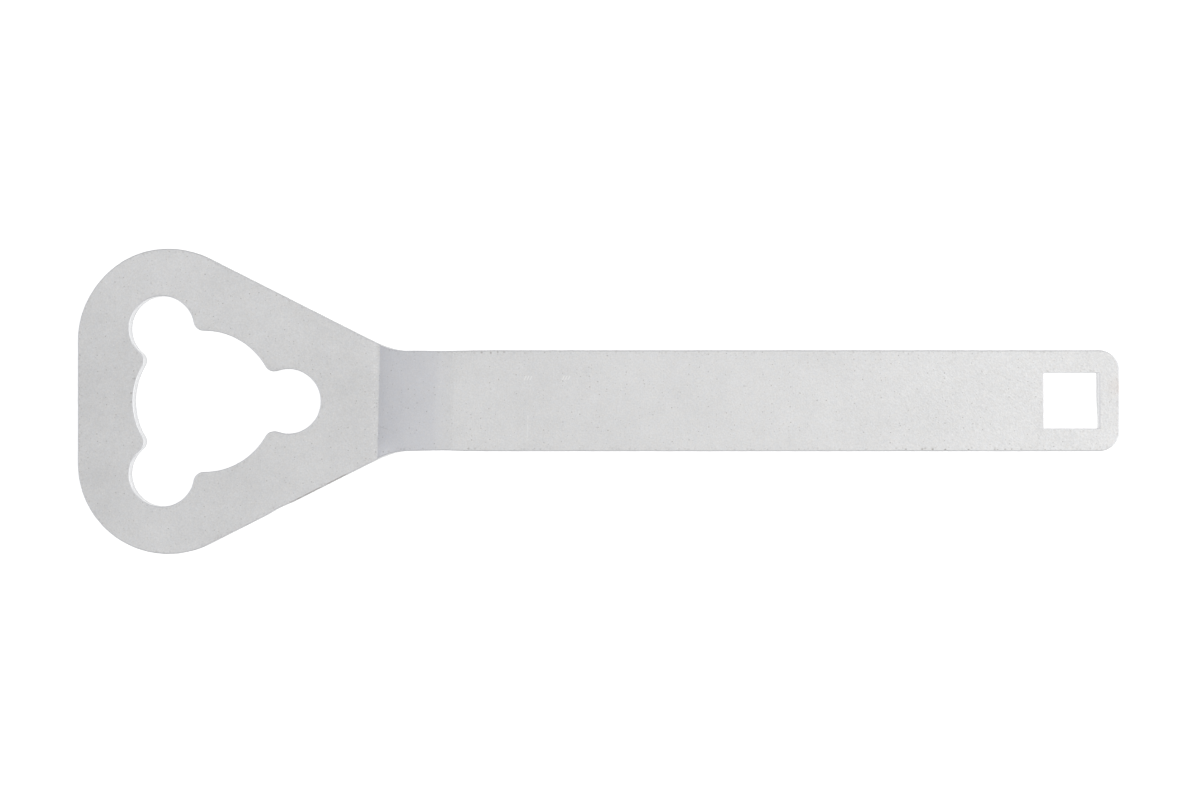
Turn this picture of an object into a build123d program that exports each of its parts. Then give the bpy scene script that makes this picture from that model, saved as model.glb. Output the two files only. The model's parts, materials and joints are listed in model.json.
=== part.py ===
"""Flat hydrant wrench: one steel plate, cut to shape, punched twice and cranked.

The triangular head holds a three-lobed socket, a short crank lifts the plate, and a straight
strap runs from there to a rounded end with a square socket.

Frame: the origin is the centre of the three-lobed socket on the head's underside, +X runs
along the handle, +Y across it, and +Z is up, the way the crank lifts the strap.
"""
from build123d import *
from math import cos, isclose, radians, sin, tan
import os

# Driving dimensions, in millimetres and degrees.

# Plate
THICKNESS = 6.0
TOP_EDGE_ROUNDING = 0.3  # the roll-over that shearing leaves round the upper face
UNDER_EDGE_ROUNDING = 0.2  # the deburred edge round the lower face

# Three-lobed socket in the head
SOCKET_RADIUS = 28.4
LOBE_RADIUS = 13.0
LOBE_REACH = 33.9  # from the socket's centre to each lobe's centre
LOBE_ANGLES = (0.0, 120.0, 240.0)  # the first lobe points along the handle
NOSE_RADIUS = 4.1  # rounding of the six noses between the main circle and the lobes

# Head outline
CORNER_RADIUS = 36.5
CORNER_REACH = 28.8  # from the socket's centre to each corner's centre
CORNER_ANGLE = 119.8  # of the two corners, either side of the handle's direction
SIDE_ANGLE = 26.8  # of the slanted sides against the handle's axis
SHOULDER_RADIUS = 35.0  # where a slanted side runs into the strap

# Strap
STRAP_WIDTH = 40.0
STRAP_END_X = 364.5
END_CORNER_RADIUS = 8.0

# Square socket near the strap's end
SQUARE_SIZE = 22.0
SQUARE_X = 345.6
SQUARE_CORNER_RADIUS = 0.6

# Crank: two equal and opposite bends across the plate
CRANK_RISE = 15.0  # from the head's faces to the strap's
BEND_ANGLE = 28.0
FIRST_BEND_X = 70.3  # the sharp line that the bending punch leaves on the upper face
FIRST_INSIDE_RADIUS = 0.8  # on the upper face
SECOND_INSIDE_RADIUS = 12.0  # on the lower face

# Worked out from the above
HALF_WIDTH = STRAP_WIDTH / 2
STRAP_TOP_Z = THICKNESS + CRANK_RISE
CRANK_RUN = CRANK_RISE / tan(radians(BEND_ANGLE))
UNDERSIDE_SHIFT = THICKNESS * tan(radians(BEND_ANGLE / 2))
MARGIN = 20.0  # how far the cutting solids run past the plate
TOLERANCE = 0.01  # for picking out vertices by where they are


def polar(reach, angle):
    """The point at a distance and a direction from the three-lobed socket's centre."""
    return Vector(reach * cos(radians(angle)), reach * sin(radians(angle)))


def plan_outline():
    """The plate's outline, seen from above."""
    corner = polar(CORNER_REACH, CORNER_ANGLE)
    side_normal = Vector(sin(radians(SIDE_ANGLE)), cos(radians(SIDE_ANGLE)))
    side_start = corner + side_normal * CORNER_RADIUS
    back_end = corner - Vector(CORNER_RADIUS, 0)
    corner_middle = corner + (side_normal - Vector(1, 0)).normalized() * CORNER_RADIUS
    side_run = (side_start.Y - HALF_WIDTH) / tan(radians(SIDE_ANGLE))
    shoulder = Vector(side_start.X + side_run, HALF_WIDTH)
    strap_corner = Vector(STRAP_END_X, HALF_WIDTH)

    half = [
        Line(Vector(STRAP_END_X, 0), strap_corner),
        Line(strap_corner, shoulder),
        Line(shoulder, side_start),
        ThreePointArc(side_start, corner_middle, back_end),
        Line(back_end, Vector(back_end.X, 0)),
    ]
    other_half = [edge.mirror(Plane.XZ) for edge in half]
    face = make_face(half + other_half)
    shoulders = face.vertices().filter_by(lambda v: isclose(v.X, shoulder.X, abs_tol=TOLERANCE))
    face = fillet(shoulders, SHOULDER_RADIUS)
    strap_corners = face.vertices().filter_by(
        lambda v: isclose(v.X, STRAP_END_X, abs_tol=TOLERANCE) and abs(v.Y) > HALF_WIDTH - TOLERANCE
    )
    return fillet(strap_corners, END_CORNER_RADIUS)


def three_lobed_socket():
    """The head's opening: a circle with three round lobes and rounded noses between them."""
    opening = Circle(SOCKET_RADIUS)
    for angle in LOBE_ANGLES:
        opening += Pos(polar(LOBE_REACH, angle)) * Circle(LOBE_RADIUS)
    noses = opening.vertices().filter_by(
        lambda v: isclose(v.center().length, SOCKET_RADIUS, abs_tol=TOLERANCE)
    )
    return fillet(noses, NOSE_RADIUS)


def square_socket():
    """The square opening near the strap's end, with nearly sharp corners."""
    return Pos(SQUARE_X, 0) * RectangleRounded(SQUARE_SIZE, SQUARE_SIZE, SQUARE_CORNER_RADIUS)


def side_profile():
    """The bent plate seen from the side: head, rising crank and strap, one thickness all along."""
    left_x = -CORNER_REACH - CORNER_RADIUS - MARGIN
    right_x = STRAP_END_X + MARGIN
    second_bend_x = FIRST_BEND_X + CRANK_RUN
    upper = FilletPolyline(
        (left_x, THICKNESS),
        (FIRST_BEND_X, THICKNESS),
        (second_bend_x, STRAP_TOP_Z),
        (right_x, STRAP_TOP_Z),
        radius=[FIRST_INSIDE_RADIUS, SECOND_INSIDE_RADIUS + THICKNESS],
    )
    lower = FilletPolyline(
        (left_x, 0),
        (FIRST_BEND_X + UNDERSIDE_SHIFT, 0),
        (second_bend_x + UNDERSIDE_SHIFT, CRANK_RISE),
        (right_x, CRANK_RISE),
        radius=[FIRST_INSIDE_RADIUS + THICKNESS, SECOND_INSIDE_RADIUS],
    )
    ends = [Line(upper @ 0, lower @ 0), Line(upper @ 1, lower @ 1)]
    return Plane.XZ * make_face(upper.edges() + lower.edges() + ends)


def through(sketch):
    """A prism of the sketch that runs past the plate above and below."""
    return Pos(0, 0, -MARGIN) * extrude(sketch, STRAP_TOP_Z + 2 * MARGIN)


def rim(plate, upper):
    """The edges that go round the plate and its two sockets on the upper or the lower face."""
    def is_skin(face):
        z = face.normal_at(face.position_at(0.5, 0.5)).Z
        return z > 0.5 if upper else z < -0.5

    skin = plate.faces().filter_by(is_skin)
    seen = {}
    for edge in skin.edges():
        middle = edge @ 0.5
        key = (round(middle.X, 3), round(middle.Y, 3), round(middle.Z, 3))
        seen.setdefault(key, []).append(edge)
    return [edges[0] for edges in seen.values() if len(edges) == 1]


def wrench_plate():
    """The whole wrench: the bent plate cut to its outline, with both sockets through it."""
    half_span = CORNER_REACH + CORNER_RADIUS + MARGIN
    bent = extrude(side_profile(), half_span, both=True)
    plate = bent & through(plan_outline())
    plate -= through(three_lobed_socket())
    plate -= through(square_socket())
    plate = fillet(rim(plate, upper=True), TOP_EDGE_ROUNDING)
    plate = fillet(rim(plate, upper=False), UNDER_EDGE_ROUNDING)
    return plate


os.makedirs("parts", exist_ok=True)
nodes = {"wrench_plate": wrench_plate()}
for name, solid in nodes.items():
    solid.label = name
    export_step(solid, f"parts/{name}.step")
    size = solid.bounding_box().size
    print(f"{name}: {size.X:.1f} x {size.Y:.1f} x {size.Z:.1f} mm, {solid.volume / 1000:.1f} cm3")
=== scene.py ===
"""Studio scene of the hydrant wrench: one cranked steel plate on a pale floor, seen from above.

The visible plate is built here as the real one is made. Its outline and both sockets are laid
out flat, the sheared rims are shaped, and the whole blank is bent into the crank. The blank is
laid out in millimetres; the finished meshes and the camera are in metres, in the frame's axes.
"""
import json
import math

import bpy
import numpy as np
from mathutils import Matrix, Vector, noise
from mathutils.geometry import delaunay_2d_cdt


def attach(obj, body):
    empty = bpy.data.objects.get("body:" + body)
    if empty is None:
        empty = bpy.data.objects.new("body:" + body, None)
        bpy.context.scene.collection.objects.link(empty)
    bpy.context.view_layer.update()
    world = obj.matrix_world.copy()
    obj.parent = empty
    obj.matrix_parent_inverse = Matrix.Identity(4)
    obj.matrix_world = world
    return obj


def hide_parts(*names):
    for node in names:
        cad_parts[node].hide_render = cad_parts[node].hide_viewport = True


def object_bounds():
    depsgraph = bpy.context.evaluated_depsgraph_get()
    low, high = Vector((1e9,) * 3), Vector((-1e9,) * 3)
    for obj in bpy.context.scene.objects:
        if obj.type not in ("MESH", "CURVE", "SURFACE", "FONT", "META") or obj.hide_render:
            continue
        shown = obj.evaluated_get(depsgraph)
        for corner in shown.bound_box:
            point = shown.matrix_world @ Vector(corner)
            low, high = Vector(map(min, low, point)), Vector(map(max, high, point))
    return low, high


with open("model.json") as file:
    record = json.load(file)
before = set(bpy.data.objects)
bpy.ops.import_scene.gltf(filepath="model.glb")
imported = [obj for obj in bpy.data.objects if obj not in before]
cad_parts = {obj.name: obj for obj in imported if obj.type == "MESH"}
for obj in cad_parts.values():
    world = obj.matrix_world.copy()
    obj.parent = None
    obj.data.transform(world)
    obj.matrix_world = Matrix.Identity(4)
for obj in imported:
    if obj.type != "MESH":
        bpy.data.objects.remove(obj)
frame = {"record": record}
CAD_LOW, CAD_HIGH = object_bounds()
MOUNTS = {mount["name"]: Vector(mount["pos_m"]) for mount in frame["record"]["mounts"]}
MM = 0.001

# ---------------------------------------------------------------- the plate, in millimetres
THICKNESS = MOUNTS["head_top"].z / MM
CRANK_RISE = MOUNTS["strap_underside"].z / MM
STRAP_END_X = CAD_HIGH.x / MM
SQUARE_X = MOUNTS["square_socket"].x / MM
HALF_WIDTH = 20.0
END_CORNER_RADIUS = 8.0
SQUARE_SIZE = 22.0
SQUARE_CORNER_RADIUS = 0.6
SOCKET_RADIUS = 28.4
LOBE_RADIUS = 13.0
LOBE_REACH = 33.9
LOBE_ANGLES = (0.0, 120.0, 240.0)
NOSE_RADIUS = 4.1
CORNER_RADIUS = 36.5
CORNER_REACH = 28.8
CORNER_ANGLE = 119.8
SIDE_ANGLE = 26.8
SHOULDER_RADIUS = 35.0

# The crank: the plate eases a little between its two bends, and the punch stood off square
FIRST_BEND_X = 70.3  # the sharp line across the upper face
FIRST_ANGLE = math.radians(33.0)
SECOND_ANGLE = math.radians(26.0)
FIRST_INSIDE_RADIUS = 0.8
FIRST_RADIUS = FIRST_INSIDE_RADIUS + THICKNESS / 2
SECOND_RADIUS = 14.0 + THICKNESS / 2
PUNCH_SKEW = 0.023
PRESS_DEPTH = 0.05  # the shallow groove that the punch pressed along the first bend
PRESS_REACH, PRESS_RECOVERY = 2.9, 4.0
DRAW_IN, DRAW_IN_REACH = 0.28, 8.0  # how much the strap narrows on each side at the second bend
SWELL, SWELL_REACH, SWELL_LAG = 0.15, 9.0, 8.0  # and bulges on each side after the first
SIDE_STEP = 0.24  # how far the press pushed the strap sideways
SIDE_STEP_START, SIDE_STEP_RUN = 66.0, 26.0
UPRIGHT = 0.6  # how far the cut walls on the crank lean back from square towards upright

# The sheared rim. Cutting rolls one edge over, leaves a smooth band, then tears the rest.
ROLL_OVERS = (0.3, 0.3, 0.12)  # of the outline, the three-lobed socket and the square one
ROLL_STEPS = 4
BURR_BREAK = 0.15
TORN_FROM = 3.5  # depth from the rolled edge at which the smooth band gives way to the torn one
TORN_STEP = 0.1
TORN_ROUGHNESS, TORN_SIZE = 0.03, 1.3
SUPPORT = 0.3  # a flat strip beside the rim, so that it stays crisp
NICKS = ((0.05, 2.6), (0.035, 0.9))  # (depth, length)
DENTS = (  # in the outer edge: (along, across, depth, reach)
    (30.0, -42.5, 0.38, 4.0),
    (-45.0, 47.0, 0.35, 15.0),
)
BREAK_OUT, BREAK_OUT_REACH = 0.55, 6.0  # where the square socket's torn band broke away
WARP, WARP_SIZE = 0.07, 70.0
DENTING, DENT_SIZE = 0.02, 12.0

# Mesh spacing
GRID = 1.15
OUTLINE_STEP = 0.7
BEND_STEP = 0.35

# ---------------------------------------------------------------- the studio, in metres
CAMERA_HEIGHT = 0.805  # above the strap
CAMERA_FOCAL_SHARE = 1.699  # focal length over the picture's width
CAMERA_X, CAMERA_Y = 2.5, 0.54  # millimetres off the middle of the wrench
FLOOR_HALF = 6.0  # half the floor's side
FLOOR_GAP = 0.0003
FLOOR_SHADE, FLOOR_GLOW = 0.33, 0.85
SKY_BRIGHTNESS = 2.56
SKY = (  # a weak softbox on the left and a strong one on the right: (from left to right, colour)
    (0.000, (0.335, 0.345, 0.396)),
    (0.075, (0.358, 0.362, 0.382)),
    (0.150, (0.425, 0.427, 0.437)),
    (0.250, (0.431, 0.432, 0.439)),
    (0.350, (0.330, 0.331, 0.334)),
    (0.450, (0.332, 0.332, 0.333)),
    (0.550, (0.391, 0.391, 0.391)),
    (0.650, (0.477, 0.477, 0.476)),
    (0.750, (0.670, 0.669, 0.666)),
    (0.875, (0.819, 0.819, 0.814)),
    (1.000, (0.996, 0.996, 0.988)),
)
HORIZON_SHARE, HORIZON_TOP = 0.3, 0.3  # the sky dims from this height down, to this share
SIDE_SHARE, SIDE_START, SIDE_END = 0.45, 0.3, 0.75  # and towards +Y and -Y, between these


def polar(reach, angle):
    return Vector((reach * math.cos(math.radians(angle)), reach * math.sin(math.radians(angle))))


# ---------------------------------------------------------------- outlines
def arc(centre, start, end, clockwise, step):
    """Points on an arc about centre from start up to, and not with, end."""
    first = math.atan2(*(start - centre).yx)
    last = math.atan2(*(end - centre).yx)
    turn = (first - last) if clockwise else (last - first)
    turn %= 2 * math.pi
    radius = (start - centre).length
    count = max(5, math.ceil(radius * turn / step))
    sign = -1 if clockwise else 1
    angles = [first + sign * turn * i / count for i in range(count)]
    return [centre + radius * Vector((math.cos(a), math.sin(a))) for a in angles]


def straight(start, end, step):
    """Points on a line from start up to, and not with, end."""
    count = max(1, math.ceil((end - start).length / step))
    return [start.lerp(end, i / count) for i in range(count)]


def rounded_polygon(corners, radii, step):
    """Points round an anticlockwise polygon whose corners are rounded."""
    arcs = []
    for i, (corner, radius) in enumerate(zip(corners, radii)):
        back = (corners[i - 1] - corner).normalized()
        ahead = (corners[(i + 1) % len(corners)] - corner).normalized()
        half_turn = (math.pi - back.angle(ahead)) / 2
        centre = corner + (back + ahead).normalized() * radius / math.cos(half_turn)
        cut = radius * math.tan(half_turn)
        clockwise = back.x * ahead.y - back.y * ahead.x > 0
        arcs.append((centre, corner + back * cut, corner + ahead * cut, clockwise))
    points = []
    for i, (centre, start, end, clockwise) in enumerate(arcs):
        points += arc(centre, start, end, clockwise, step)
        points += straight(end, arcs[(i + 1) % len(arcs)][1], step)
    return points


def plate_outline(strap_end):
    """The blank's outer outline, anticlockwise."""
    corner = polar(CORNER_REACH, CORNER_ANGLE)
    side = math.radians(SIDE_ANGLE)
    side_start = corner + CORNER_RADIUS * Vector((math.sin(side), math.cos(side)))
    back_x = corner.x - CORNER_RADIUS
    back_corner = Vector((back_x, side_start.y + (side_start.x - back_x) * math.tan(side)))
    shoulder_x = side_start.x + (side_start.y - HALF_WIDTH) / math.tan(side)
    upper = [Vector((strap_end, HALF_WIDTH)), Vector((shoulder_x, HALF_WIDTH)), back_corner]
    lower = [Vector((point.x, -point.y)) for point in reversed(upper)]
    radii = [END_CORNER_RADIUS, SHOULDER_RADIUS, CORNER_RADIUS]
    return rounded_polygon(upper + lower, radii + radii[::-1], OUTLINE_STEP)


def three_lobed_outline():
    """The head's socket, anticlockwise: main circle, nose, lobe, nose, three times."""
    nose_reach = SOCKET_RADIUS + NOSE_RADIUS
    lobe_gap = LOBE_RADIUS + NOSE_RADIUS
    nose_cos = (nose_reach**2 + LOBE_REACH**2 - lobe_gap**2) / (2 * nose_reach * LOBE_REACH)
    nose_angle = math.degrees(math.acos(nose_cos))
    points = []
    for angle in LOBE_ANGLES:
        lobe = polar(LOBE_REACH, angle)
        before, after = polar(nose_reach, angle - nose_angle), polar(nose_reach, angle + nose_angle)
        lobe_start = lobe + LOBE_RADIUS * (before - lobe).normalized()
        lobe_end = lobe + LOBE_RADIUS * (after - lobe).normalized()
        circle_end = polar(SOCKET_RADIUS, angle - nose_angle)
        circle_start = polar(SOCKET_RADIUS, angle + nose_angle)
        next_end = polar(SOCKET_RADIUS, angle + 120 - nose_angle)
        points += arc(before, circle_end, lobe_start, True, OUTLINE_STEP)
        points += arc(lobe, lobe_start, lobe_end, False, OUTLINE_STEP)
        points += arc(after, lobe_end, circle_start, True, OUTLINE_STEP)
        points += arc(Vector((0, 0)), circle_start, next_end, False, OUTLINE_STEP)
    return points


def square_outline(centre_x):
    """The strap's square socket, anticlockwise."""
    half = SQUARE_SIZE / 2
    signs = ((1, 1), (-1, 1), (-1, -1), (1, -1))
    corners = [Vector((centre_x + x * half, y * half)) for x, y in signs]
    return rounded_polygon(corners, [SQUARE_CORNER_RADIUS] * 4, OUTLINE_STEP)


# ---------------------------------------------------------------- the bends
def crank_zones():
    """Where the first bend starts on the flat blank, and (length, curvature) of what follows."""
    start = FIRST_BEND_X - FIRST_INSIDE_RADIUS * math.tan(FIRST_ANGLE / 2)
    bends_rise = FIRST_RADIUS * (1 - math.cos(FIRST_ANGLE))
    bends_rise += SECOND_RADIUS * (1 - math.cos(SECOND_ANGLE))
    easing = FIRST_ANGLE - SECOND_ANGLE
    steepness = (math.cos(SECOND_ANGLE) - math.cos(FIRST_ANGLE)) / easing
    slope = (CRANK_RISE - bends_rise) / steepness
    return start, [
        (FIRST_ANGLE * FIRST_RADIUS, 1 / FIRST_RADIUS),
        (slope, -easing / slope),
        (SECOND_ANGLE * SECOND_RADIUS, -1 / SECOND_RADIUS),
        (math.inf, 0.0),
    ]


def tilt(travelled):
    """The sheet's angle at each distance along the blank."""
    start, zones = crank_zones()
    left, angle = travelled - start, np.zeros_like(travelled)
    for length, curvature in zones:
        angle += curvature * np.clip(left, 0, length)
        left = left - length
    return angle


def bend(blank):
    """Bends points of the flat blank, (along, across, height), into the cranked plate."""
    along, across, height = blank.T
    start, zones = crank_zones()
    travelled = along - PUNCH_SKEW * across
    x = np.minimum(travelled, start)
    z = np.full_like(x, THICKNESS / 2)
    angle = np.zeros_like(x)
    left = travelled - start
    for length, curvature in zones:
        run = np.clip(left, 0, length)
        turned = angle + curvature * run
        if curvature:
            x += (np.sin(turned) - np.sin(angle)) / curvature
            z += (np.cos(angle) - np.cos(turned)) / curvature
        else:
            x += run * np.cos(angle)
            z += run * np.sin(angle)
        angle = turned
        left = left - length
    pressed = np.interp(travelled - start, [-PRESS_REACH, 0, PRESS_RECOVERY], [0, PRESS_DEPTH, 0])
    above_middle = height - THICKNESS / 2 - pressed * height / THICKNESS
    x += PUNCH_SKEW * across - above_middle * np.sin(angle)
    z += above_middle * np.cos(angle)
    return np.stack([x, across, z], axis=1)


def bend_columns():
    """Positions along the blank where the mesh needs an edge, so that each bend is smooth."""
    start, zones = crank_zones()
    columns = [start - PRESS_REACH]
    for length, curvature in zones[:3]:
        spacing = BEND_STEP if abs(curvature) > 0.01 else PRESS_RECOVERY
        count = math.ceil(length / spacing)
        columns += [start + length * i / count for i in range(count)]
        start += length
    return columns + [start]


# ---------------------------------------------------------------- the mesh
def rim_profile(roll_over):
    """A sheared rim from its rolled edge on, as (outwards from the outline, depth) pairs."""
    profile = [(-roll_over - SUPPORT, 0.0)]
    for i in range(ROLL_STEPS + 1):
        angle = math.pi / 2 * i / ROLL_STEPS
        profile.append((roll_over * (math.sin(angle) - 1), roll_over * (1 - math.cos(angle))))
    profile += [
        (0.0, TORN_FROM / 2),
        (0.0, TORN_FROM),
        (-TORN_STEP * 0.7, TORN_FROM + 0.3),
        (-TORN_STEP, THICKNESS - 1.7),
        (-TORN_STEP, THICKNESS - 0.8),
        (-TORN_STEP, THICKNESS - BURR_BREAK),
        (-TORN_STEP - BURR_BREAK, THICKNESS),
        (-TORN_STEP - BURR_BREAK - SUPPORT, THICKNESS),
    ]
    return profile


def with_columns(loop, columns):
    """The closed loop with extra points where it crosses the given positions along the blank."""
    points = []
    for i, here in enumerate(loop):
        ahead = loop[(i + 1) % len(loop)]
        points.append(here)
        at_here, at_ahead = (p.x - PUNCH_SKEW * p.y for p in (here, ahead))
        low, high = sorted((at_here, at_ahead))
        crossed = [c for c in columns if low + 0.02 < c < high - 0.02]
        shares = sorted((c - at_here) / (at_ahead - at_here) for c in crossed)
        points += [here.lerp(ahead, share) for share in shares]
    return points


def outward_normals(loop):
    """Unit vectors in the blank's plane, away from the steel that lies on the loop's left."""
    ahead = np.roll(loop, -1, axis=0) - loop
    ahead /= np.linalg.norm(ahead, axis=1, keepdims=True)
    along = ahead + np.roll(ahead, 1, axis=0)
    along /= np.linalg.norm(along, axis=1, keepdims=True)
    return np.stack([along[:, 1], -along[:, 0]], axis=1)


def grid_points(loops, strap_end):
    """Points well inside the steel, and how far each is from the nearest outline.

    Their columns follow the bends and are evenly spaced in between.
    """
    columns = bend_columns()
    gaps = [(low, high) for low, high in zip(columns, columns[1:]) if high - low > GRID]
    gaps += [(-CORNER_REACH - CORNER_RADIUS, columns[0]), (columns[-1], strap_end)]
    for low, high in gaps:
        columns += list(np.linspace(low, high, math.ceil((high - low) / GRID) + 1)[1:-1])
    tallest = CORNER_REACH + CORNER_RADIUS
    rows = np.arange(-tallest, tallest, GRID)
    grid = np.array([(c + PUNCH_SKEW * r, r) for c in sorted(columns) for r in rows])
    inside = np.zeros(len(grid), dtype=bool)
    clearance = np.full(len(grid), np.inf)
    for loop in loops:
        for here, ahead in zip(loop, np.roll(loop, -1, axis=0)):
            clearance = np.minimum(clearance, np.hypot(*(grid - here).T))
            share = (grid[:, 1] - here[1]) / (ahead[1] - here[1] or 1e-9)
            crossing = here[0] + share * (ahead[0] - here[0])
            inside ^= (share >= 0) & (share < 1) & (crossing > grid[:, 0])
    kept = inside & (clearance > max(ROLL_OVERS) + SUPPORT + 0.4 * GRID)
    return grid[kept], clearance[kept]


def lump(points, size, seed):
    """Smooth noise from about -1 to 1 at each point, with lumps of about the given size."""
    return np.array([noise.noise(Vector(p) / size + Vector((seed, 0, 0))) for p in points])


def near(points, along, across, reach):
    """1 at a place on the blank, falling off to 0 over about the given reach."""
    return np.exp(-(np.hypot(points[:, 0] - along, points[:, 1] - across) / reach) ** 2)


def shaped(blank):
    """The blank's points after the press: drawn in or swollen, bent, and not quite flat."""
    start, zones = crank_zones()
    second_middle = start + zones[0][0] + zones[1][0] + zones[2][0] / 2
    travelled = blank[:, 0] - PUNCH_SKEW * blank[:, 1]
    narrow = np.exp(-(((travelled - second_middle) / DRAW_IN_REACH) ** 2))
    swell = np.exp(-(((travelled - start - SWELL_LAG) / SWELL_REACH) ** 2))
    blank = blank.copy()
    blank[:, 1] *= 1 - DRAW_IN / HALF_WIDTH * narrow + SWELL / HALF_WIDTH * swell
    points = bend(blank)
    share = np.clip((points[:, 0] - SIDE_STEP_START) / SIDE_STEP_RUN, 0, 1)
    points[:, 1] += SIDE_STEP * share**2 * (3 - 2 * share)
    flat = points * (1, 1, 0)
    points[:, 2] += WARP * lump(flat, WARP_SIZE, 3) + DENTING * lump(flat, DENT_SIZE, 7)
    return points


def rim_rings(loop, number, rolled_on_top, square_corner):
    """The rim's rings of points, from the upper face down, and each ring's depth of cut."""
    normals = outward_normals(loop)
    spots = np.column_stack([loop, np.zeros(len(loop))])
    lean = np.tan(tilt(loop[:, 0] - PUNCH_SKEW * loop[:, 1]))
    uneven = sum(depth * lump(spots, size, 11 + number) for depth, size in NICKS)
    if rolled_on_top:
        broken = BREAK_OUT * near(loop, *square_corner, BREAK_OUT_REACH)
    else:
        uneven -= sum(depth * near(loop, x, y, reach) for x, y, depth, reach in DENTS)
        broken = np.zeros(len(loop))
    rings = []
    for outwards, depth in rim_profile(ROLL_OVERS[number]):
        torn = min(1.0, max(0.0, (depth - TORN_FROM) / (THICKNESS - TORN_FROM)))
        moved = outwards + uneven - broken * torn
        if outwards == -TORN_STEP:
            moved = moved + TORN_ROUGHNESS * lump(spots + (0, 0, depth), TORN_SIZE, 29)
        height = THICKNESS - depth if rolled_on_top else depth
        place = np.column_stack([loop + normals * moved[:, None], np.full(len(loop), height)])
        place[:, 0] += UPRIGHT * (height - THICKNESS / 2) * lean
        rings.append((place, depth, -outwards))
    return rings if rolled_on_top else rings[::-1]


def plate_mesh():
    """The whole plate as one closed mesh.

    Its point attributes: height, 0 below to 1 on top; cut, the depth of the cut from the rolled
    edge; edge, the distance from the nearest outline. The last two are in millimetres.
    """
    stretch = bend(np.array([[STRAP_END_X, 0, THICKNESS / 2]]))[0, 0] - STRAP_END_X
    strap_end = STRAP_END_X - stretch
    square_x = SQUARE_X - stretch
    square_corner = (square_x + SQUARE_SIZE / 2, -SQUARE_SIZE / 2 + 2)
    outlines = [
        plate_outline(strap_end),
        three_lobed_outline()[::-1],
        square_outline(square_x)[::-1],
    ]
    loops = [np.array(with_columns(loop, bend_columns())) for loop in outlines]

    blank, cut, edge, walls, rims = [], [], [], [], []
    count = 0
    for number, loop in enumerate(loops):
        rings = rim_rings(loop, number, number > 0, square_corner)
        size = len(loop)
        for place, depth, inwards in rings:
            blank.append(place)
            cut += [depth] * size
            edge += [max(0.0, inwards)] * size
        for upper in range(count, count + size * (len(rings) - 1), size):
            lower = upper + size
            for i in range(size):
                j = (i + 1) % size
                walls.append((upper + i, lower + i, lower + j, upper + j))
        rims.append((count, count + size * (len(rings) - 1), size))
        count += size * len(rings)

    inside, clearance = grid_points(loops, strap_end)
    top_first, bottom_first = count, count + len(inside)
    for height in (THICKNESS, 0.0):
        blank.append(np.column_stack([inside, np.full(len(inside), height)]))
        cut += [0.0] * len(inside)
        edge += clearance.tolist()
    blank = np.concatenate(blank)

    flat, outlines, top, bottom = [], [], [], []
    for upper, lower, size in rims:
        outlines.append(list(range(len(flat), len(flat) + size)))
        flat += [Vector(point[:2]) for point in blank[upper : upper + size]]
        top += range(upper, upper + size)
        bottom += range(lower, lower + size)
    flat += [Vector(point) for point in inside]
    top += range(top_first, top_first + len(inside))
    bottom += range(bottom_first, bottom_first + len(inside))
    inside_with_holes = 2
    found, _, triangles, *_ = delaunay_2d_cdt(flat, [], outlines, inside_with_holes, 1e-5)
    assert len(found) == len(flat), "the outlines cross or points coincide"
    skins = [[top[i] for i in triangle] for triangle in triangles]
    skins += [[bottom[i] for i in reversed(triangle)] for triangle in triangles]

    mesh = bpy.data.meshes.new("wrench_plate_steel")
    mesh.from_pydata((shaped(blank) * MM).tolist(), [], walls + skins)
    for name, values in (("height", blank[:, 2] / THICKNESS), ("cut", cut), ("edge", edge)):
        mesh.attributes.new(name, "FLOAT", "POINT").data.foreach_set("value", values)
    mesh.polygons.foreach_set("material_index", [1] * len(walls) + [0] * len(skins))
    mesh.polygons.foreach_set("use_smooth", [True] * len(mesh.polygons))
    mesh.update()
    return mesh


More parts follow.
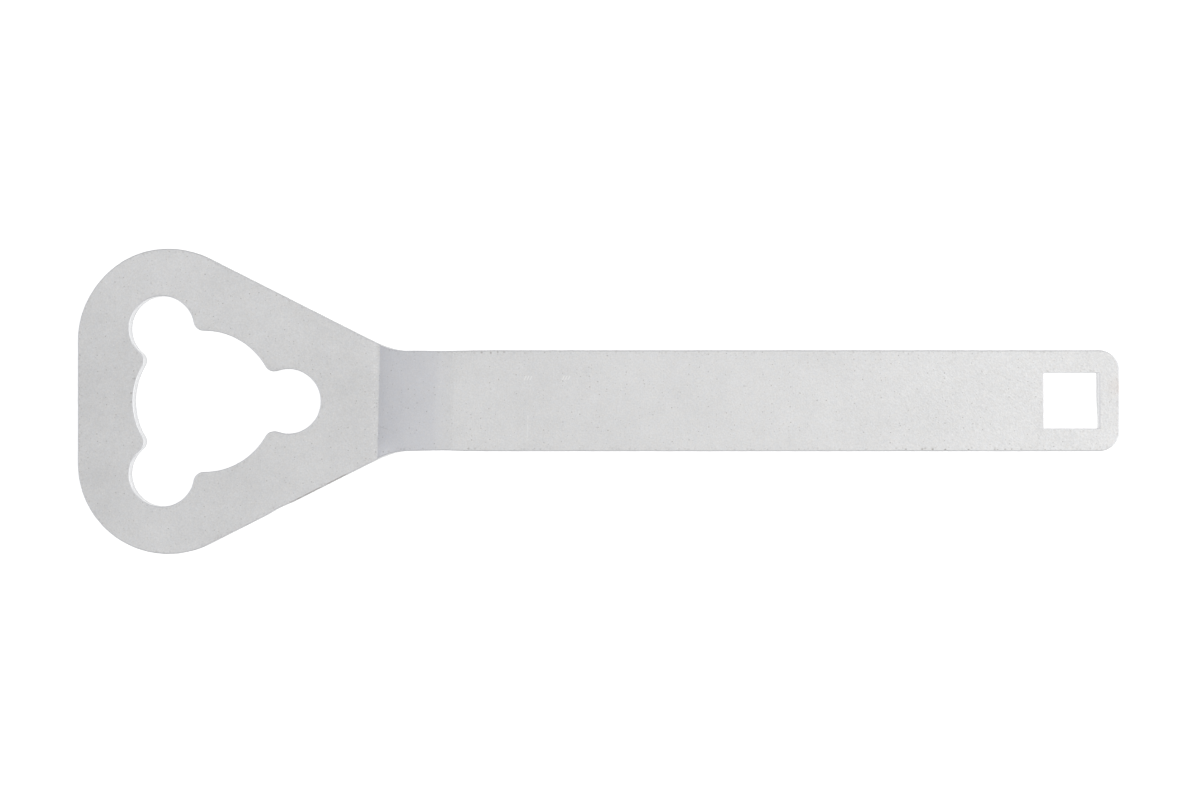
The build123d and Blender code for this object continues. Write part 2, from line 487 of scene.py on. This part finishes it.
# ---------------------------------------------------------------- materials, in millimetres
class Nodes:
    """Short calls that build one material's node tree. Lengths are in millimetres."""

    def __init__(self, name):
        self.material = bpy.data.materials.new(name)
        self.material.use_nodes = True
        self.tree = self.material.node_tree
        self.shader = self.tree.nodes["Principled BSDF"]
        self.place = self.add("ShaderNodeTexCoord").outputs["Object"]
        self.plan = self.scaled((1 / MM, 1 / MM, 0))

    def add(self, kind, inputs=(), **settings):
        node = self.tree.nodes.new(kind)
        for name, value in settings.items():
            setattr(node, name, value)
        for name, value in dict(inputs).items():
            self.feed(node.inputs[name], value)
        return node

    def feed(self, socket, value):
        if isinstance(value, bpy.types.NodeSocket):
            self.tree.links.new(value, socket)
        else:
            socket.default_value = value

    def scaled(self, scale, turn=0.0):
        """The place on the object, turned about Z by some degrees and then scaled."""
        turned = self.add(
            "ShaderNodeVectorRotate",
            {"Vector": self.place, "Angle": math.radians(turn)},
            rotation_type="Z_AXIS",
        )
        scaling = {0: turned.outputs[0], 1: scale}
        return self.add("ShaderNodeVectorMath", scaling, operation="MULTIPLY").outputs[0]

    def math(self, operation, *values):
        node = self.add("ShaderNodeMath", operation=operation)
        for socket, value in zip(node.inputs, values):
            self.feed(socket, value)
        return node.outputs[0]

    def vector_math(self, operation, *values, result="Vector"):
        node = self.add("ShaderNodeVectorMath", operation=operation)
        for socket, value in zip(node.inputs, values):
            self.feed(socket, value)
        return node.outputs[result]

    def attribute(self, name):
        return self.add("ShaderNodeAttribute", attribute_name=name).outputs["Fac"]

    def noise(self, size, seed, detail=1.0, stretch=(1, 1, 1), turn=0.0):
        """Noise from -1 to 1, with lumps of about the given size, longer where stretched."""
        inputs = {
            "Vector": self.scaled(tuple(1 / MM / size / s for s in stretch), turn),
            "W": seed,
            "Scale": 1.0,
            "Detail": detail,
        }
        node = self.add("ShaderNodeTexNoise", inputs, noise_dimensions="4D")
        return self.math("MULTIPLY_ADD", node.outputs[0], 2.0, -1.0)

    def ramp(self, value, low, high):
        """0 at low, 1 at high, smooth in between. Low may be the larger number."""
        node = self.add("ShaderNodeMapRange", interpolation_type="SMOOTHSTEP")
        for socket, number in zip(node.inputs, (value, low, high, 0.0, 1.0)):
            self.feed(socket, number)
        return node.outputs[0]

    def weighted(self, start, *terms):
        """start plus each value times its weight."""
        total = start
        for value, weight in terms:
            total = self.math("MULTIPLY_ADD", value, weight, total)
        return total

    def product(self, first, *others):
        for other in others:
            first = self.math("MULTIPLY", first, other)
        return first

    def near(self, along, across, reach):
        """1 at a place in plan, 0 from the given reach on."""
        distance = self.vector_math("DISTANCE", self.plan, (along, across, 0), result="Value")
        return self.ramp(distance, reach, 0.0)

    def stroke(self, start, end, width):
        """1 on a line in plan, 0 beyond its width."""
        start, end = Vector((*start, 0)), Vector((*end, 0))
        run = end - start
        offset = self.vector_math("SUBTRACT", self.plan, start)
        reached = self.vector_math("DOT_PRODUCT", offset, run / run.length_squared, result="Value")
        clamped = self.add("ShaderNodeClamp", {"Value": reached}).outputs[0]
        spot = self.vector_math("MULTIPLY_ADD", clamped, tuple(run), tuple(start))
        distance = self.vector_math("DISTANCE", self.plan, spot, result="Value")
        return self.ramp(distance, width, width * 0.3)

    def band(self, value, rise, fall):
        """1 between the two ramps, each given as (low, high)."""
        return self.product(self.ramp(value, *rise), self.ramp(value, *fall))

    def specks(self, cell, radius, share, seed):
        """Small round spots in plan, one in the given share of square cells."""
        shifted = self.vector_math("ADD", self.plan, (seed, seed, 0))
        inputs = {"Vector": shifted, "Scale": 1 / cell}
        voronoi = self.add("ShaderNodeTexVoronoi", inputs, voronoi_dimensions="2D")
        spot = self.ramp(voronoi.outputs["Distance"], radius / cell, radius / cell * 0.3)
        picked = self.add("ShaderNodeSeparateColor", {0: voronoi.outputs["Color"]}).outputs[0]
        chosen = self.math("LESS_THAN", picked, share)
        return self.product(spot, chosen)

    def mixed(self, colour, other, amount):
        node = self.add("ShaderNodeMix", data_type="RGBA")
        for name, value in (("Factor_Float", amount), ("A_Color", colour), ("B_Color", other)):
            socket = next(s for s in node.inputs if s.identifier == name)
            self.feed(socket, value)
        return next(s for s in node.outputs if s.identifier == "Result_Color")

    def bump(self, height):
        """Relief of the given height in millimetres."""
        inputs = {"Height": height, "Distance": MM, "Strength": 1.0}
        self.feed(self.shader.inputs["Normal"], self.add("ShaderNodeBump", inputs).outputs[0])


EDGE_ZINC = (0.668, 0.672, 0.682)
COOL_ZINC = (0.668, 0.6725, 0.680, 1)
WARM_ZINC = (0.679, 0.6725, 0.664, 1)
# dark brown for real pits, dirt and stains, and also for the painted shade along one slanted side
GRIME_AND_SHADE = (0.28, 0.25, 0.225, 1)
RUST = (0.55, 0.36, 0.24, 1)
BRIGHT = (0.86, 0.86, 0.85, 1)
PATCHES = (  # broad places where the zinc is brighter or duller: (along, across, reach, by)
    (-18.0, 52.0, 36.0, 0.064),
    (-18.0, -52.0, 32.0, 0.025),
    (-54.0, 4.0, 46.0, -0.075),
    (-42.0, -32.0, 22.0, -0.070),
    (24.0, 46.0, 30.0, 0.020),
    (60.0, 0.0, 30.0, -0.025),
)
GRIMY_PLACES = (  # where dirt gathers along the edges: (along, across, reach)
    (105.0, -19.5, 8.0),
    (116.0, 19.0, 9.0),
    (300.0, -19.5, 40.0),
    (-30.0, 5.0, 9.0),
    (28.0, -44.0, 4.0),
)
SCUFFS = ((131.0, 9.3), (146.0, 9.3))  # two small triple strokes
DIE_MARK = ((130.9, -5.7), (130.5, -18.3))
SCRATCH = ((70.9, -10.2), (74.2, -11.2))
SLOPE = ((69.0, 71.0), (103.0, 96.0))  # the crank's slope: (where it fades in, and out) along
PRESS_BAND = ((66.8, 68.0), (70.6, 69.9))  # the lighter band that the punch left
CREASE = ((68.3, 69.3), (70.8, 70.2))  # where dirt sits beside the punch line
SHEEN = (73.0, -21.5, 9.0)  # a painted sheen, a brighter place on the slope: (along, across, reach)
# the slanted side along which a broken line of painted shade runs
SHADED_SIDE = ((36.0, -39.9), (56.0, -29.7))
RUST_ON_FACE = (363.5, 6.0, 6.0)
RUST_ON_EDGE = (364.6, 5.0, 4.5)


def painted_edge_shade(nodes):
    """Painted shade: a broken dark line along one slanted side of the head, to be narrowed to its
    upper rim.
    """
    gaps = nodes.ramp(nodes.noise(3.5, 5.2, detail=3.0), -0.5, 0.1)
    return nodes.product(nodes.stroke(*SHADED_SIDE, 2.5), gaps, 0.6)


def galvanised_face():
    """Dull zinc: cloudy, finely mottled, with scattered pits, a few signs of use, and painted
    glints, sheen, light and shade.
    """
    nodes = Nodes("galvanised_face")
    on_top = nodes.ramp(nodes.attribute("height"), 0.4, 0.6)
    at_rim = nodes.ramp(nodes.attribute("edge"), 2.2, 0.3)
    along = nodes.add("ShaderNodeSeparateXYZ", {0: nodes.plan}).outputs[0]
    to_end = nodes.ramp(along, 200.0, 340.0)
    # painted light: to_strap and outwards brighten the tone towards the strap's end, where the light
    # is stronger
    to_strap = nodes.ramp(along, 50.0, 200.0)
    outwards = nodes.ramp(along, 130.0, 340.0)
    slope = nodes.band(along, *SLOPE)

    cloud = nodes.noise(34.0, 1.7, detail=2.0, stretch=(1.4, 1, 1))
    blotch = nodes.noise(7.0, 4.1, detail=2.0)
    mottle = nodes.noise(2.1, 8.3, detail=1.0)
    grain = nodes.noise(0.62, 2.9, detail=1.0)
    fleck = nodes.noise(0.55, 6.4, detail=1.0, stretch=(1, 1.9, 1), turn=-50.0)
    hue = nodes.weighted(0.5, (nodes.noise(0.9, 5.5, detail=2.0), 1.5))
    coarse = nodes.product(fleck, nodes.weighted(0.2, (to_end, 0.8)))
    fine = nodes.product(grain, nodes.weighted(1.0, (slope, -0.3)))
    tone = nodes.weighted(
        1.0, (cloud, 0.08), (blotch, 0.05), (mottle, 0.045), (fine, 0.12), (coarse, 0.13),
        (to_strap, 0.035), (outwards, 0.028),
    )
    for x, y, reach, by in PATCHES:
        tone = nodes.weighted(tone, (nodes.near(x, y, reach), by))
    press_band = nodes.band(along, *PRESS_BAND)
    by_crease = nodes.product(nodes.band(along, *CREASE), on_top)
    # painted sheen: a brighter place on the slope's lower side
    tone = nodes.weighted(tone, (nodes.product(nodes.near(*SHEEN), slope), 0.12))
    # painted shade: the slope darkens towards the crease
    tone = nodes.weighted(tone, (nodes.product(nodes.ramp(along, 77.0, 71.0), slope), -0.012))
    colour = nodes.vector_math("SCALE", nodes.mixed(COOL_ZINC, WARM_ZINC, hue))
    nodes.feed(colour.node.inputs["Scale"], tone)

    die_mark = nodes.product(nodes.stroke(*DIE_MARK, 0.35), nodes.ramp(mottle, -0.5, 0.2))
    marks_and_glints = nodes.product(die_mark, 0.35)
    for x, y in SCUFFS:
        for step in (-1.1, 0.0, 1.1):
            ends = ((x + step - 0.35, y - 0.6), (x + step + 0.25, y + 0.6))
            marks_and_glints = nodes.math("MAXIMUM", marks_and_glints, nodes.product(nodes.stroke(*ends, 0.35), 0.55))
    # painted glints: sparse bright specks painted into the colour, gathered below with the real
    # scuffs and tool marks
    glints = nodes.product(nodes.specks(5.5, 0.3, 0.22, 31.0), 0.45)
    pressed = nodes.product(nodes.specks(1.1, 0.4, 0.45, 12.0), press_band, 0.4)
    marks_and_glints = nodes.math("MAXIMUM", marks_and_glints, nodes.math("MAXIMUM", glints, pressed))
    marks_and_glints = nodes.product(marks_and_glints, on_top)
    colour = nodes.mixed(colour, BRIGHT, marks_and_glints)

    grimy = nodes.near(*GRIMY_PLACES[0])
    for place in GRIMY_PLACES[1:]:
        grimy = nodes.math("MAXIMUM", grimy, nodes.near(*place))
    pits = nodes.product(nodes.specks(3.6, 0.34, 0.2, 0.0), nodes.weighted(0.4, (blotch, 0.3)))
    dots = nodes.product(nodes.specks(1.9, 0.26, 0.16, 57.0), 0.3)
    pits = nodes.math("MAXIMUM", pits, dots)
    rim_dirt = nodes.product(nodes.specks(1.3, 0.7, 0.33, 23.0), at_rim)
    rim_dirt = nodes.product(rim_dirt, nodes.weighted(0.2, (grimy, 0.5)))
    clusters = nodes.ramp(nodes.noise(4.0, 3.7, detail=2.0), -0.15, 0.3)
    crease_dirt = nodes.product(nodes.specks(0.9, 0.4, 0.4, 71.0), clusters, by_crease, 0.32)
    scratch = nodes.product(nodes.stroke(*SCRATCH, 0.3), on_top, 0.14)
    # painted shade: a broken dark line on the top face's rim along one slanted side
    upper_rim = nodes.ramp(nodes.attribute("edge"), 0.35, 0.25)
    edge_line = nodes.product(painted_edge_shade(nodes), upper_rim, on_top)
    # real pits and dirt, gathered together with that painted shade
    dirt_and_shade = pits
    for other in (rim_dirt, crease_dirt, scratch, edge_line):
        dirt_and_shade = nodes.math("MAXIMUM", dirt_and_shade, other)
    colour = nodes.mixed(colour, GRIME_AND_SHADE, dirt_and_shade)
    colour = nodes.mixed(colour, RUST, nodes.product(nodes.near(*RUST_ON_FACE), on_top, 0.1))
    nodes.feed(nodes.shader.inputs["Base Color"], colour)

    rough = nodes.weighted(0.52, (mottle, 0.08), (blotch, 0.05), (dirt_and_shade, 0.25), (marks_and_glints, -0.12))
    nodes.feed(nodes.shader.inputs["Roughness"], rough)
    relief = nodes.weighted(0.0, (grain, 0.012), (coarse, 0.02), (mottle, 0.012), (dirt_and_shade, -0.04))
    nodes.bump(relief)
    nodes.shader.inputs["Metallic"].default_value = 1.0
    return nodes.material


def sheared_edge():
    """Zinc over a cut edge: a streaky smooth band, then a duller torn one."""
    nodes = Nodes("sheared_edge")
    wander = nodes.noise(3.5, 5.2, detail=3.0)
    torn = nodes.ramp(nodes.weighted(nodes.attribute("cut"), (wander, 0.7)), 3.2, 3.7)
    streaks = nodes.noise(0.55, 7.7, detail=2.0, stretch=(1, 1, 14))
    crumbs = nodes.noise(0.8, 3.3, detail=3.0, stretch=(1, 1, 1.5))
    cloud = nodes.noise(14.0, 9.1, detail=2.0)
    smooth = nodes.math("SUBTRACT", 1.0, torn)
    streaked, crumbled = nodes.product(streaks, smooth), nodes.product(crumbs, torn)
    tone = nodes.weighted(1.0, (cloud, 0.05), (streaked, 0.12), (crumbled, 0.14), (torn, -0.04))
    colour = nodes.vector_math("SCALE", EDGE_ZINC)
    nodes.feed(colour.node.inputs["Scale"], tone)
    # painted shade along the top of the wall on one slanted side, mixed below with real stains in
    # the torn band
    edge_line = nodes.product(painted_edge_shade(nodes), nodes.ramp(nodes.attribute("cut"), 5.6, 5.9))
    stained = nodes.product(torn, nodes.ramp(crumbs, 0.15, 0.5), 0.2)
    colour = nodes.mixed(colour, GRIME_AND_SHADE, nodes.math("MAXIMUM", edge_line, stained))
    colour = nodes.mixed(colour, RUST, nodes.product(nodes.near(*RUST_ON_EDGE), 0.15))
    nodes.feed(nodes.shader.inputs["Base Color"], colour)
    nodes.feed(nodes.shader.inputs["Roughness"], nodes.weighted(0.33, (torn, 0.17), (streaked, 0.1)))
    nodes.bump(nodes.weighted(0.0, (streaked, 0.03), (crumbled, 0.05)))
    nodes.shader.inputs["Metallic"].default_value = 1.0
    return nodes.material


def build_wrench():
    mesh = plate_mesh()
    plate = bpy.data.objects.new("wrench_plate_steel", mesh)
    bpy.context.scene.collection.objects.link(plate)
    mesh.materials.append(galvanised_face())
    mesh.materials.append(sheared_edge())
    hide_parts("wrench_plate")
    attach(plate, "root")


# ---------------------------------------------------------------- studio
def build_floor():
    half = FLOOR_HALF
    corners = [(-half, -half), (half, -half), (half, half), (-half, half)]
    mesh = bpy.data.meshes.new("floor")
    mesh.from_pydata([(x, y, CAD_LOW.z - FLOOR_GAP) for x, y in corners], [], [(0, 1, 2, 3)])
    floor = bpy.data.objects.new("floor", mesh)
    bpy.context.scene.collection.objects.link(floor)
    nodes = Nodes("floor_paper")
    nodes.shader.inputs["Base Color"].default_value = (FLOOR_SHADE, FLOOR_SHADE, FLOOR_SHADE, 1)
    nodes.shader.inputs["Roughness"].default_value = 0.9
    nodes.shader.inputs["Specular IOR Level"].default_value = 0.1
    nodes.shader.inputs["Emission Color"].default_value = (1, 1, 1, 1)
    nodes.shader.inputs["Emission Strength"].default_value = FLOOR_GLOW
    mesh.materials.append(nodes.material)


def faded(tree, value, reach, results):
    """The first result at the start of the reach, the second at its end, smooth in between."""
    node = tree.nodes.new("ShaderNodeMapRange")
    node.interpolation_type = "SMOOTHSTEP"
    tree.links.new(value, node.inputs["Value"])
    names = ("From Min", "From Max", "To Min", "To Max")
    for name, number in zip(names, (*reach, *results)):
        node.inputs[name].default_value = number
    return node.outputs["Result"]


def build_world():
    """A plain white surround to look at, and a soft sky to be lit by, brighter on the right."""
    world = bpy.data.worlds.new("studio")
    bpy.context.scene.world = world
    world.use_nodes = True
    tree = world.node_tree
    direction = tree.nodes.new("ShaderNodeTexCoord")
    split = tree.nodes.new("ShaderNodeSeparateXYZ")
    tree.links.new(direction.outputs["Generated"], split.inputs[0])
    share = tree.nodes.new("ShaderNodeMapRange")
    share.inputs["From Min"].default_value = -1.0
    tree.links.new(split.outputs["X"], share.inputs["Value"])
    sky = tree.nodes.new("ShaderNodeValToRGB")
    stops = sky.color_ramp
    stops.interpolation = "CARDINAL"
    while len(stops.elements) < len(SKY):
        stops.elements.new(0.5)
    for stop, (position, colour) in zip(stops.elements, SKY):
        stop.position = position
        stop.color = (*colour, 1)
    tree.links.new(share.outputs["Result"], sky.inputs["Fac"])
    low, high = SKY_BRIGHTNESS * HORIZON_SHARE, SKY_BRIGHTNESS
    height = faded(tree, split.outputs["Z"], (0.0, HORIZON_TOP), (low, high))
    sideways = tree.nodes.new("ShaderNodeMath")
    sideways.operation = "ABSOLUTE"
    tree.links.new(split.outputs["Y"], sideways.inputs[0])
    side = faded(tree, sideways.outputs[0], (SIDE_START, SIDE_END), (1.0, SIDE_SHARE))
    strength = tree.nodes.new("ShaderNodeMath")
    strength.operation = "MULTIPLY"
    tree.links.new(height, strength.inputs[0])
    tree.links.new(side, strength.inputs[1])
    lit = tree.nodes["Background"]
    tree.links.new(strength.outputs[0], lit.inputs["Strength"])
    tree.links.new(sky.outputs["Color"], lit.inputs["Color"])
    seen = tree.nodes.new("ShaderNodeBackground")
    seen.inputs["Color"].default_value = (1, 1, 1, 1)
    path = tree.nodes.new("ShaderNodeLightPath")
    mix = tree.nodes.new("ShaderNodeMixShader")
    tree.links.new(path.outputs["Is Camera Ray"], mix.inputs["Fac"])
    tree.links.new(lit.outputs[0], mix.inputs[1])
    tree.links.new(seen.outputs[0], mix.inputs[2])
    tree.links.new(mix.outputs[0], tree.nodes["World Output"].inputs["Surface"])


def build_camera():
    """Straight above the wrench, a little off its middle, at a short portrait-lens distance."""
    camera = bpy.data.cameras.new("camera")
    camera.sensor_width = 36.0
    camera.lens = camera.sensor_width * CAMERA_FOCAL_SHARE
    seat = bpy.data.objects.new("camera", camera)
    middle = (CAD_LOW + CAD_HIGH) / 2
    seat.location = (middle.x + CAMERA_X * MM, middle.y + CAMERA_Y * MM, CAD_HIGH.z + CAMERA_HEIGHT)
    bpy.context.scene.collection.objects.link(seat)
    bpy.context.scene.camera = seat


def build_studio():
    build_world()
    build_floor()
    build_camera()
    bpy.context.scene.view_settings.view_transform = "Standard"


build_wrench()
build_studio()
